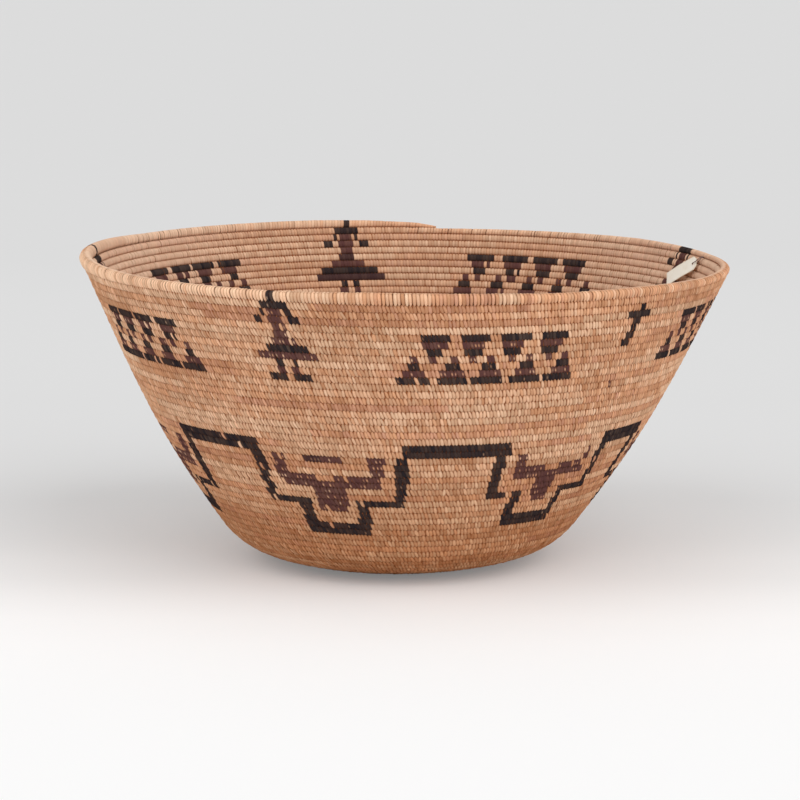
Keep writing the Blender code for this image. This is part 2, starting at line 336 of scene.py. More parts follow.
@dataclass(frozen=True)
class Cross:
    """A small black cross with a long foot that drifts to one side."""

    centre: float
    row_shift: int = 0

    def bars(self) -> list[Bar]:
        """Return the cross's bars."""
        spans = ((2, -0.35, 0.75), (3, -2.95, 2.95), (4, -0.75, 1.15), (5, -1.05, 0.85),
                 (6, -1.15, 0.65), (7, -1.55, 0.45))
        return [Bar(row + self.row_shift, self.centre + start, self.centre + end, Dye.BLACK)
                for row, start, end in spans]


@dataclass(frozen=True)
class Valley:
    """One dip of the black stepped band, with the brown shape that stands in it."""

    centre: float
    bar_start: float
    deep: bool

    def spans(self) -> tuple[Span, ...]:
        """Lay out the dip.

        Returns:
            Its spans, in degrees about its middle.
        """
        brown, black = Dye.BROWN, Dye.BLACK
        if self.deep:
            return (
                *((row, -18.3, -15.3, black) for row in range(23, 30)),
                *((row, 15.3, 18.3, black) for row in range(23, 30)),
                (30, -17.4, -6.45, black), (30, 5.85, 18.0, black),
                *((row, -9.4, -6.1, black) for row in range(31, 34)),
                *((row, 6.15, 9.15, black) for row in range(31, 34)),
                *((row, -9.0, 9.0, black) for row in (34, 35)),
                (23, -5.4, -1.0, Dye.DARK), (23, -1.0, 3.45, brown),
                *((row, -13.05, -10.2, brown) for row in (23, 24, 25)),
                *((row, 9.6, 13.05, brown) for row in (23, 24, 25)),
                (26, -12.9, -2.85, brown), (26, 0.9, 12.3, brown),
                (27, -12.0, 12.3, brown),
                *((row, -4.3, 3.5, brown) for row in range(28, 32)),
            )
        return (
            *((row, -16.15, -13.35, black) for row in range(23, 29)),
            *((row, 13.55, 15.95, black) for row in range(23, 29)),
            (29, -16.05, -10.25, black), (29, -8.85, -5.95, black), (29, 5.95, 16.05, black),
            *((row, -8.75, -6.05, black) for row in range(30, 33)),
            *((row, 5.95, 8.05, black) for row in range(30, 33)),
            *((row, -8.55, 8.25, black) for row in (33, 34)),
            *((row, -10.55, -8.05, brown) for row in (23, 24)),
            *((row, 8.75, 10.85, brown) for row in (23, 24)),
            (25, -10.55, -1.75, brown), (25, 2.45, 9.35, brown),
            (26, -10.45, 10.85, brown),
            *((row, -3.25, 3.05, brown) for row in range(27, 31)),
        )

    def bars(self) -> list[Bar]:
        """Lay out the dip and the way to it.

        Returns:
            The level bar that leads to the dip, and the dip's bars.
        """
        outer = 15.8 if self.deep else 12.9
        made = [Bar(row, self.bar_start, self.centre - outer, Dye.BLACK) for row in (21, 22)]
        return made + [Bar(row, self.centre + start, self.centre + end, dye)
                       for row, start, end, dye in self.spans()]


@dataclass(frozen=True)
class Slip:
    """One stray stitch of another colour in the plain ground."""

    row: int
    centre: float
    dye: Dye
    half: float = 0.3

    def bars(self) -> list[Bar]:
        """Return the stray stitch."""
        return [Bar(self.row, self.centre - self.half, self.centre + self.half, self.dye)]


@dataclass(frozen=True)
class Chart:
    """All of the bowl's figures, in the order in which they are counted round it."""

    motifs: tuple[Figure | TrianglePanel | Cross | Valley | Slip, ...] = (
        Figure(-22.35, FRONT_FIGURE),
        TrianglePanel((4.85, 11.85, 18.9, 26.1), (1.35, 8.4, 15.2, 22.2, 29.25)),
        Cross(43.75),
        TrianglePanel((61.0, 67.2, 73.6, 80.0), (57.7, 64.0, 70.4, 76.8, 83.2), -1, 0.92),
        Figure(111.8, BACK_FIGURE, -1),
        TrianglePanel((142.25, 149.3, 156.4, 163.9), (137.6, 145.2, 152.3, 159.4, 166.9), -1),
        Figure(192.2, BACK_FIGURE),
        TrianglePanel((219.8, 226.5, 233.1, 240.15), (216.9, 223.5, 230.0, 236.8, 243.5)),
        Figure(265.5, BACK_FIGURE),
        TrianglePanel((-47.4, -54.5, -61.1, -67.0), (-43.3, -50.2, -57.0, -63.7, -70.0)),
        Valley(-16.9, -58.2, True),
        Valley(36.95, 0.2, False),
        Valley(81.0, 50.3, False),
        Valley(132.0, 94.4, True),
        Valley(184.0, 149.1, False),
        Valley(235.0, 197.4, True),
        Valley(286.5, 252.1, True),
        Slip(13, 43.5, Dye.BROWN),
    )

    def dyes(self, rows: np.ndarray, angles: np.ndarray) -> np.ndarray:
        """Work out the dye of every stitch.

        Args:
            rows: Each stitch's row, counted down from the rim.
            angles: Each stitch's angle in degrees.

        Returns:
            Each stitch's shares of brown and of black. A bar narrower than a stitch takes
            the stitch nearest to it.
        """
        shares = np.zeros((len(rows), 2))
        for motif in self.motifs:
            for bar in motif.bars():
                in_row = np.flatnonzero(rows == bar.row)
                width = bar.end - bar.start
                inside = in_row[(angles[in_row] - bar.start) % 360.0 <= width]
                if not len(inside):
                    middle = bar.start + width / 2.0
                    away = np.abs((angles[in_row] - middle + 180.0) % 360.0 - 180.0)
                    inside = in_row[[away.argmin()]]
                shares[inside] = bar.dye.value
        return shares


@dataclass(frozen=True)
class RimTint:
    """A stretch of the rim whose splints have a tint of their own."""

    start: float
    end: float
    tint: float
    spread: float


@dataclass(frozen=True)
class Sewing:
    """Every stitch of the bowl in order along the coil: its place, its tint and its dye."""

    path: CoilPath
    chart: Chart
    pitch: float = 0.00186
    tilt: float = 0.30
    lock: float = 0.92
    foot_place: float = 0.58
    seed: int = 62
    shortest_splint: int = 14
    longest_splint: int = 64
    tint_weights: tuple[float, float] = (2.2, 2.4)
    splint_shade: tuple[float, float] = (0.5, 0.16)
    tint_spread: float = 0.13
    shade_spread: float = 0.26
    missed_share: float = 0.025
    weakest_dye: float = 0.92
    first_turn: float = 0.06
    free_turns: float = 1.5
    step_turns: float = 0.9
    end_space: float = 0.0008
    rim_tints: tuple[RimTint, ...] = (
        RimTint(-50.0, -12.5, 0.10, 0.10), RimTint(-12.5, 3.5, 0.42, 0.10),
        RimTint(3.5, 15.0, 0.80, 0.08), RimTint(15.0, 19.0, 0.10, 0.10),
        RimTint(19.0, 80.0, 0.58, 0.08),
    )

    @cached_property
    def turns(self) -> np.ndarray:
        """Space the stitches out.

        Each stitch is drawn towards the gap between two stitches of the winding below, and
        its foot goes down into that gap.

        Returns:
            The turn of every stitch's middle.
        """
        first = self.path.length_at(self.first_turn)
        last = self.path.length_at(self.path.terminus_turn - self.end_space)
        free = self.path.turns_at(np.arange(first, last, self.pitch))
        made = free[free < self.free_turns]
        while len(made) < len(free):
            part = free[len(made):]
            part = part[part < made[-1] + self.step_turns]
            winding = self.path.circumference(part)
            below = part - 1.0 - self.tilt * self.path.pitch / winding
            phase = np.interp(below, made, np.arange(len(made))) - self.foot_place
            drawn = self.lock / math.tau * np.sin(math.tau * phase) * self.pitch / winding
            made = np.concatenate([made, part - drawn])
        return made

    @cached_property
    def splints(self) -> np.ndarray:
        """Tint the splints, each of which lasts for a number of stitches.

        Returns:
            Each stitch's tint, shade and a number of its own, all from 0 to 1.
        """
        chance = np.random.default_rng(self.seed)
        count = len(self.turns)
        tint = np.empty(count)
        shade = np.empty(count)
        at = 0
        while at < count:
            run = int(chance.integers(self.shortest_splint, self.longest_splint))
            tint[at:at + run] = chance.beta(*self.tint_weights)
            shade[at:at + run] = chance.normal(*self.splint_shade)
            at += run
        rows, angles = self.path.rows_and_angles(self.turns)
        for patch in self.rim_tints:
            chosen = (rows == 0) & ((angles - patch.start) % 360.0 <= patch.end - patch.start)
            tint[chosen] = patch.tint + chance.normal(0.0, patch.spread, chosen.sum())
        tint += chance.normal(0.0, self.tint_spread, count)
        shade += chance.normal(0.0, self.shade_spread, count)
        return np.stack([tint.clip(0, 1), shade.clip(0, 1), chance.random(count)], axis=-1)

    @cached_property
    def dyes(self) -> np.ndarray:
        """Dye the stitches by the chart, with a few of them missed.

        Returns:
            Each stitch's shares of brown and of black.
        """
        chance = np.random.default_rng(self.seed + 1)
        shares = self.chart.dyes(*self.path.rows_and_angles(self.turns))
        missed = chance.random(len(shares)) < self.missed_share
        faded = chance.uniform(self.weakest_dye, 1.0, (len(shares), 1))
        return np.where(missed[:, None], 0.0, shares * faded)

    def between(self, first: float, last: float) -> slice:
        """Return the stitches that lie between two turns."""
        start, end = np.searchsorted(self.turns, (first, last))
        return slice(int(start), int(end))


class Strand:
    """A number that a material works out, which Python's operators carry on."""

    def __init__(self, work: "Workbench", socket: bpy.types.NodeSocket) -> None:
        """Keep the node tree's workbench and the output socket."""
        self.work = work
        self.socket = socket

    def __add__(self, other: "Strand | float") -> "Strand":
        """Return the sum."""
        return self.work.maths("ADD", self, other)

    def __radd__(self, other: float) -> "Strand":
        """Return the sum, with the number first."""
        return self.work.maths("ADD", other, self)

    def __sub__(self, other: "Strand | float") -> "Strand":
        """Return the difference."""
        return self.work.maths("SUBTRACT", self, other)

    def __rsub__(self, other: float) -> "Strand":
        """Return the difference, with the number first."""
        return self.work.maths("SUBTRACT", other, self)

    def __mul__(self, other: "Strand | float") -> "Strand":
        """Return the product."""
        return self.work.maths("MULTIPLY", self, other)

    def __rmul__(self, other: float) -> "Strand":
        """Return the product, with the number first."""
        return self.work.maths("MULTIPLY", other, self)

    def clamped(self) -> "Strand":
        """Return the value held between 0 and 1."""
        return self.work.maths("ADD", self, 0.0, clamp=True)

    def swing(self, amount: float) -> "Strand":
        """Return a factor that goes from 1 - amount to 1 + amount."""
        return (1.0 - amount) + self * (2.0 * amount)

    def size(self) -> "Strand":
        """Return the value without its sign."""
        return self.work.maths("ABSOLUTE", self, 0.0)

    def smoothly(self, low: "Strand | float", high: "Strand | float") -> "Strand":
        """Return a soft step from 0 at one value to 1 at another."""
        return self.work.strand(
            "ShaderNodeMapRange", "Result", {"interpolation_type": "SMOOTHSTEP"},
            {"Value": self, "From Min": low, "From Max": high},
        )


class Workbench:
    """The node tree of one material or world, and the one way in which nodes get into it."""

    def __init__(self, owner: bpy.types.Material | bpy.types.World) -> None:
        """Empty the owner's node tree.

        Args:
            owner: The material or the world.
        """
        owner.use_nodes = True
        self.owner = owner
        self.tree = owner.node_tree
        self.tree.nodes.clear()

    def node(self, kind: str, settings: dict[str, object] | None = None,
             sockets: dict[str | int, object] | None = None) -> bpy.types.Node:
        """Add a node.

        Args:
            kind: The node's type.
            settings: Its settings by name. The stops of a ramp are pairs of place, colour.
            sockets: The value or link of each input socket, by name or number.

        Returns:
            The node.
        """
        made = self.tree.nodes.new(kind)
        for name, value in (settings or {}).items():
            if name == "stops":
                self.set_stops(made.color_ramp, value)
            else:
                setattr(made, name, value)
        for key, value in (sockets or {}).items():
            if isinstance(value, Strand):
                self.tree.links.new(value.socket, made.inputs[key])
            else:
                made.inputs[key].default_value = value
        return made

    def strand(self, kind: str, output: str | int, settings: dict[str, object] | None = None,
               sockets: dict[str | int, object] | None = None) -> Strand:
        """Add a node and return one of its outputs.

        Args:
            kind: The node's type.
            output: The output's name or number.
            settings: As for node.
            sockets: As for node.

        Returns:
            The output.
        """
        return Strand(self, self.node(kind, settings, sockets).outputs[output])

    def set_stops(self, ramp: bpy.types.ColorRamp, stops: list[tuple[float, Colour]]) -> None:
        """Give a ramp its stops, from left to right."""
        while len(ramp.elements) < len(stops):
            ramp.elements.new(1.0)
        for element, (place, colour) in zip(ramp.elements, stops):
            element.position = place
            element.color = colour

    def ramp(self, value: Strand, stops: list[tuple[float, Colour]]) -> Strand:
        """Colour a value from 0 to 1 by a ramp."""
        return self.strand("ShaderNodeValToRGB", "Color", {"stops": stops}, {0: value})

    def maths(self, operation: str, first: Strand | float, second: Strand | float,
              clamp: bool = False) -> Strand:
        """Work out one operation on two values."""
        return self.strand("ShaderNodeMath", 0, {"operation": operation, "use_clamp": clamp},
                           {0: first, 1: second})

    def mixed(self, share: Strand | float, first: Strand | Colour, second: Strand | Colour,
              blend: str = "MIX") -> Strand:
        """Mix two colours by a share from 0 to 1."""
        return self.strand("ShaderNodeMix", 2, {"data_type": "RGBA", "blend_type": blend},
                           {0: share, 6: first, 7: second})

    def scaled(self, colour: Strand, by: Strand | float) -> Strand:
        """Make a colour lighter or darker."""
        return self.strand("ShaderNodeVectorMath", 0, {"operation": "SCALE"},
                           {0: colour, 3: by})

    def split(self, vector: Strand) -> tuple[Strand, Strand, Strand]:
        """Return the three numbers of a vector."""
        parts = self.node("ShaderNodeSeparateXYZ", None, {0: vector})
        return tuple(Strand(self, output) for output in parts.outputs)

    def attribute(self, name: str) -> tuple[Strand, Strand, Strand]:
        """Return the three numbers of a vector that the mesh carries."""
        return self.split(
            self.strand("ShaderNodeAttribute", "Vector", {"attribute_name": name}))

    def places(self) -> Strand:
        """Return the point on the object, in metres."""
        return self.strand("ShaderNodeTexCoord", "Object")

    def by_ray(self, others: Strand, camera: Strand) -> Strand:
        """Return one shader for the camera's own rays and another for all others."""
        ray = self.strand("ShaderNodeLightPath", "Is Camera Ray")
        return self.strand("ShaderNodeMixShader", 0, None, {0: ray, 1: others, 2: camera})

    def noise(self, place: Strand, scale: float, detail: float = 2.0,
              roughness: float = 0.5) -> Strand:
        """Return a soft noise from 0 to 1."""
        return self.strand("ShaderNodeTexNoise", 0, None,
                           {"Vector": place, "Scale": scale, "Detail": detail,
                            "Roughness": roughness})

    def surface(self, colour: Strand | Colour, roughness: Strand | float,
                relief: Strand | None = None, depth: float = 0.0001,
                strength: float = 1.0, specular: float = 0.5, sheen: float = 0.0) -> None:
        """Finish a material with a surface shader.

        Args:
            colour: Base colour.
            roughness: Roughness.
            relief: Height of a fine relief, 0 to 1.
            depth: Metres that a relief of 1 stands out.
            strength: Strength of the relief.
            specular: Level of the plain reflection.
            sheen: Weight of the soft sheen of loose fibres.
        """
        sockets = {"Base Color": colour, "Roughness": roughness,
                   "Specular IOR Level": specular, "Sheen Weight": sheen}
        if relief is not None:
            sockets["Normal"] = self.strand(
                "ShaderNodeBump", "Normal", None,
                {"Height": relief, "Distance": depth, "Strength": strength})
        shader = self.strand("ShaderNodeBsdfPrincipled", 0, None, sockets)
        self.node("ShaderNodeOutputMaterial", None, {"Surface": shader})


@dataclass(frozen=True)
class SplintFinish:
    """Dry sewn splints of plant fibre, in tints that change from splint to splint."""

    name: str
    straw: Colour = srgb(232, 194, 162)
    tan: Colour = srgb(226, 182, 149)
    orange: Colour = srgb(216, 162, 124)
    rose: Colour = srgb(209, 157, 129)
    brown: Colour = srgb(89, 58, 56)
    black: Colour = srgb(42, 37, 40)
    ripened: Colour = (1.0, 0.86, 0.74, 1.0)
    # Pale fibre, partly a painted highlight on the stitches' crests
    highlight_fleck: Colour = srgb(246, 218, 192)
    # Warm brown of grime and of painted shade in the grooves and between the stitches
    grime_and_shade: Colour = srgb(146, 84, 48)
    # Tint that darkens the bowl towards its bottom
    bottom_darkening: Colour = srgb(224, 208, 190)
    dusty: Colour = srgb(204, 170, 144)
    # Painted light on the left and right sides of the inner wall
    painted_side_light: Colour = srgb(240, 210, 186)
    level: float = 0.86
    roughness: float = 0.50
    # Whether the grime and painted shade of the grooves also darken the top of the coil
    grime_and_shade_on_top: bool = True
    patina_scale: float = 14.0
    blotch_scale: float = 46.0
    fibres_across: float = 11.0
    fibres_along: float = 1.4
    fibre_shift: float = 60.0
    highlight_fleck_share: float = 0.5
    dusty_share: float = 0.35
    seam_grime_and_shade: float = 0.72
    edge_grime_and_shade: float = 0.50
    less_grime_and_shade_inside: float = 0.38
    painted_side_light_share: float = 0.32
    fibre_relief: float = 0.0001

    def dress(self) -> bpy.types.Material:
        """Make the material.

        Returns:
            A material that reads the stitch's tint, dye and fibre direction from the mesh.
        """
        work = Workbench(bpy.data.materials.new(self.name))
        tint, shade, own = work.attribute("splint")
        brown, black, crown = work.attribute("dye")
        across, outward, upward = work.attribute("fibre")
        place = work.places()
        x, _, z = work.split(place)

        # The plain splint, in lighter and darker fibres
        colour = work.ramp(tint, [(0.0, self.straw), (0.32, self.tan), (0.62, self.orange),
                                  (1.0, self.rose)])
        patina = work.noise(place, self.patina_scale, 3.0)
        blotch = work.noise(place, self.blotch_scale, 2.0)
        along = work.strand("ShaderNodeCombineXYZ", 0, None, {
            0: across * self.fibres_across,
            1: outward * self.fibres_along + own * self.fibre_shift,
            2: upward * self.fibres_along})
        streak = work.noise(along, 1.0, 3.0, 0.62)
        light = shade.swing(0.21) * patina.swing(0.14) * blotch.swing(0.07)
        light = light * streak.swing(0.28) * self.level
        colour = work.scaled(colour, light)
        ripe = ((1.0 - light) * 2.0).clamped()
        colour = work.mixed(ripe, colour, self.ripened, "MULTIPLY")
        # Pale fibre flecks on each stitch's crest, partly a painted highlight
        highlight_fleck = streak.smoothly(0.60, 0.82) * crown.smoothly(0.3, 0.9)
        colour = work.mixed(highlight_fleck * self.highlight_fleck_share, colour, self.highlight_fleck)

        # Darker towards the bottom, dust inside, grime and painted shade in the grooves and
        # between the stitches, painted light on the sides inside
        inside = (0.0 - outward).smoothly(0.0, 0.5)
        seam = upward.size() if self.grime_and_shade_on_top else 0.0 - upward
        seam = seam.smoothly(0.76 - inside * 0.32, 1.0)
        edge = (1.0 - crown).smoothly(0.35, 1.0)
        # Darker towards the bottom of the bowl
        foot = 1.0 - z.smoothly(0.0, 0.10)
        colour = work.mixed(foot, colour, self.bottom_darkening, "MULTIPLY")
        colour = work.mixed(inside * self.dusty_share, colour, self.dusty)
        # Painted shade, partly grime: darker in the grooves between rows and down each stitch's
        # sides, less so inside
        grime_and_shade = (seam * self.seam_grime_and_shade + edge * self.edge_grime_and_shade).clamped()
        grime_and_shade = grime_and_shade * (1.0 - inside * self.less_grime_and_shade_inside)
        colour = work.mixed(grime_and_shade, colour, self.grime_and_shade)
        # Painted light: the inner wall is paler towards its left and right sides
        lit_inner_sides = inside * x.size().smoothly(0.07, 0.16)
        colour = work.mixed(lit_inner_sides * self.painted_side_light_share, colour, self.painted_side_light)

        # The dyes, worn through in the middle of a few stitches
        cover = (0.92 + streak * 0.25).clamped()
        middle = outward.smoothly(0.87, 0.99) * crown.smoothly(0.42, 0.85)
        worn = own.smoothly(0.55, 0.75) * middle
        rubbed = own.smoothly(0.90, 0.98) * middle
        colour = work.mixed(brown * cover * (1.0 - worn * 0.85), colour, self.brown)
        colour = work.mixed(black * cover * (1.0 - rubbed * 0.40), colour, self.black)

        dyed = (brown + black).clamped()
        shine = self.roughness - streak * 0.12 + grime_and_shade * 0.3 + dyed * (inside * 0.4 - 0.12)
        work.surface(colour, shine.clamped(), streak, self.fibre_relief, 0.5, 0.0)
        return work.owner


@dataclass(frozen=True)
class BundleFinish:
    """The dark grass of the bundle, which shows only between the stitches."""

    name: str = "grass_bundle"
    shadow: Colour = srgb(144, 82, 48)
    stalk: Colour = srgb(176, 114, 74)
    # Dark brown that the bundle takes where the splints round it are dyed
    stained: Colour = srgb(66, 42, 36)

    def dress(self) -> bpy.types.Material:
        """Make the material.

        Returns:
            A material that is darker where the splints round it are dyed.
        """
        work = Workbench(bpy.data.materials.new(self.name))
        brown, black, _ = work.attribute("dye")
        grain = work.noise(work.places(), 900.0, 2.0)
        colour = work.mixed(grain.smoothly(0.35, 0.75), self.shadow, self.stalk)
        # Darker where the splints round it are dyed
        colour = work.mixed(((brown + black) * 0.9).clamped(), colour, self.stained)
        work.surface(colour, 0.85, grain, 0.0001, 0.4, 0.0)
        return work.owner


@dataclass(frozen=True)
class PaperFinish:
    """Aged rag paper, browner at its edges, with a few faint spots."""

    name: str = "tag_paper"
    sheet: Colour = srgb(248, 243, 230)
    stain: Colour = srgb(220, 204, 174)

    def dress(self) -> bpy.types.Material:
        """Make the material.

        Returns:
            A material that reads from the mesh how worn the sheet is.
        """
        work = Workbench(bpy.data.materials.new(self.name))
        place = work.places()
        cloud = work.noise(place, 190.0, 3.0)
        fibre = work.noise(place, 2600.0, 2.0, 0.7)
        worn, _, _ = work.attribute("wear")
        stained = (cloud.smoothly(0.48, 0.86) * 0.5 + worn * 0.55).clamped()
        colour = work.mixed(stained, self.sheet, self.stain)
        colour = work.scaled(colour, fibre.swing(0.05))
        work.surface(colour, 0.88, fibre, 0.00004, 0.35, 0.25, 0.1)
        return work.owner


@dataclass(frozen=True)
class ThreadFinish:
    """Dark twisted cotton with a few paler fibres."""

    name: str = "tag_thread"
    dark: Colour = srgb(98, 72, 74)
    pale: Colour = srgb(158, 130, 128)

    def dress(self) -> bpy.types.Material:
        """Make the material.

        Returns:
            The cotton's material.
        """
        work = Workbench(bpy.data.materials.new(self.name))
        fibre = work.noise(work.places(), 5200.0, 3.0, 0.7)
        colour = work.mixed(fibre.smoothly(0.5, 0.8), self.dark, self.pale)
        work.surface(colour, 0.9, fibre, 0.00003, 0.5, 0.2, 0.3)
        return work.owner


def put_in_scene(name: str, data: bpy.types.ID) -> bpy.types.Object:
    """Put something into the scene.

    Args:
        name: Its name.
        data: A mesh, a curve, a camera or a light.

    Returns:
        The object.
    """
    made = bpy.data.objects.new(name, data)
    bpy.context.scene.collection.objects.link(made)
    return made


def settle(name: str, shape: bmesh.types.BMesh) -> bpy.types.Mesh:
    """Turn a shape that is finished into a mesh.

    Args:
        name: The mesh's name.
        shape: The shape, which is freed.

    Returns:
        The mesh.
    """
    mesh = bpy.data.meshes.new(name)
    shape.to_mesh(mesh)
    shape.free()
    return mesh


def finish_piece(name: str, mesh: bpy.types.Mesh, body: Body,
                 replaced: tuple[str, ...]) -> bpy.types.Object:
    """Put a finished mesh into the scene as a piece of the object.

    Args:
        name: The piece's name.
        mesh: The mesh, in place.
        body: The body that it moves with.
        replaced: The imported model's nodes that it stands for.

    Returns:
        The piece's object.
    """
    piece = put_in_scene(name, mesh)
    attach(piece, body.value)
    if replaced:
        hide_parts(*replaced)
    LOG.info("%s: %d faces, on %s", name, len(mesh.polygons), body.value)
    return piece


def set_vectors(mesh: bpy.types.Mesh, name: str, values: np.ndarray) -> None:
    """Store a vector for each vertex of a mesh."""
    layer = mesh.attributes.new(name, "FLOAT_VECTOR", "POINT")
    layer.data.foreach_set("vector", values.astype(np.float32).ravel())


def places_of(mesh: bpy.types.Mesh) -> np.ndarray:
    """Read where the vertices of a mesh are.

    Args:
        mesh: The mesh.

    Returns:
        The x of all of them, then their y and their z.
    """
    flat = np.empty(len(mesh.vertices) * 3, np.float32)
    mesh.vertices.foreach_get("co", flat)
    return flat.reshape(-1, 3).T.astype(float)


def move_to(mesh: bpy.types.Mesh, points: np.ndarray) -> None:
    """Move the vertices of a mesh to new points, one row to each."""
    mesh.vertices.foreach_set("co", points.astype(np.float32).ravel())


@dataclass(frozen=True)
class RowVerts:
    """The vertices of a straight row of stitches.

    These are each vertex's place along the row, its angle round the row's axis, whether it
    is the bundle's, whether it is on the crest of its stitch, its stitch, and its place
    across that stitch from -0.5 to 0.5.
    """

    x: np.ndarray
    angle: np.ndarray
    core: np.ndarray
    crest: np.ndarray
    number: np.ndarray
    across: np.ndarray


@dataclass(frozen=True)
class StitchRow:
    """A straight row of closed stitches, which every length of the coil is cut from."""

    sides: int = 12
    doublings: int = 11
    crest: float = 1.1
    half_width: float = 0.4
    core_radius: float = 0.5
    core_sides: int = 8

    @cached_property
    def row(self) -> bmesh.types.BMesh:
        """Spin one stitch's section round the row's axis, then double it again and again.

        Returns:
            The row, with its stitches at x = 0, 1, 2 and so on.
        """
        row = bmesh.new()
        half = self.half_width
        section = [row.verts.new((x, 0.0, -radius))
                   for x, radius in ((-half, 1.0), (0.0, self.crest), (half, 1.0))]
        sides = [row.edges.new(pair) for pair in zip(section, section[1:] + section[:1])]
        bmesh.ops.spin(row, geom=section + sides, cent=(0.0, 0.0, 0.0), axis=(1.0, 0.0, 0.0),
                       dvec=(0.0, 0.0, 0.0), angle=math.tau, steps=self.sides, use_merge=True)
        bmesh.ops.remove_doubles(row, verts=row.verts[:], dist=1e-4)
        bmesh.ops.recalc_face_normals(row, faces=row.faces[:])
        for face in row.faces:
            face.smooth = True
        for edge in row.edges:
            first, last = (vert.co.x for vert in edge.verts)
            edge.smooth = not (abs(first) > half / 2.0 and abs(first - last) < 0.1)
        for doubling in range(self.doublings):
            copy = bmesh.ops.duplicate(row, geom=row.verts[:] + row.edges[:] + row.faces[:])
            verts = [item for item in copy["geom"] if isinstance(item, bmesh.types.BMVert)]
            bmesh.ops.translate(row, verts=verts, vec=(float(2 ** doubling), 0.0, 0.0))
        return row

    def cut(self, count: int, sections: int) -> bmesh.types.BMesh:
        """Cut a number of stitches off the row and lay the bundle through them.

        Args:
            count: Number of stitches.
            sections: Number of sections of the bundle.

        Returns:
            A new row, with the bundle on the second material.
        """
        made = self.row.copy()
        surplus = [vert for vert in made.verts if vert.co.x > count - 0.5]
        bmesh.ops.delete(made, geom=surplus, context="VERTS")
        turn = Matrix.Rotation(math.radians(90.0), 4, "Y")
        middle = Matrix.Translation(((count - 1) / 2.0, 0.0, 0.0))
        core = bmesh.ops.create_cone(
            made, cap_ends=True, segments=self.core_sides, radius1=self.core_radius,
            radius2=self.core_radius, depth=float(count), matrix=middle @ turn)["verts"]
        faces = {face for vert in core for face in vert.link_faces}
        long_edges = {edge for vert in core for edge in vert.link_edges
                      if abs(edge.verts[0].co.x - edge.verts[1].co.x) > 0.5}
        for face in faces:
            face.material_index = 1
            face.smooth = True
        bmesh.ops.subdivide_edges(made, edges=list(long_edges), cuts=sections)
        return made

    def read(self, mesh: bpy.types.Mesh, count: int) -> RowVerts:
        """Read the vertices of a row that has been cut.

        Args:
            mesh: The row as a mesh.
            count: Number of stitches.

        Returns:
            Its vertices.
        """
        x, y, z = places_of(mesh)
        radius = np.hypot(y, z)
        core = radius < (1.0 + self.core_radius) / 2.0
        number = np.clip(np.round(x), 0, count - 1).astype(int)
        across = np.where(core, 0.0, (x - number) / (2.0 * self.half_width))
        crest = radius > (1.0 + self.crest) / 2.0
        return RowVerts(x, np.arctan2(z, y), core, crest, number, across)


# How a stitch's edge runs round the coil: degrees from its face, then how far up, how far
# out and how wide it is there
Outline = tuple[tuple[float, float, float, float], ...]
INTERLOCKED: Outline = (
    (0.0, 0.0, 1.0, 1.02), (30.0, 0.62, 0.94, 0.86), (60.0, 1.08, 0.72, 0.46),
    (90.0, 0.80, 0.0, 0.36),
)
PLUNGING: Outline = (
    (0.0, 0.0, 1.0, 1.02), (30.0, 0.66, 0.97, 0.92), (60.0, 1.15, 0.82, 0.48),
    (90.0, 0.90, 0.0, 0.36),
)
SMOOTH: Outline = (
    (0.0, 0.0, 1.0, 1.0), (30.0, 0.58, 0.90, 0.97), (60.0, 0.98, 0.66, 0.76),
    (90.0, 0.80, 0.0, 0.36),
)
ROUNDED: Outline = (
    (0.0, 0.0, 1.0, 1.0), (30.0, 0.55, 0.89, 1.0), (60.0, 0.90, 0.53, 0.98),
    (90.0, 1.0, 0.0, 0.96),
)


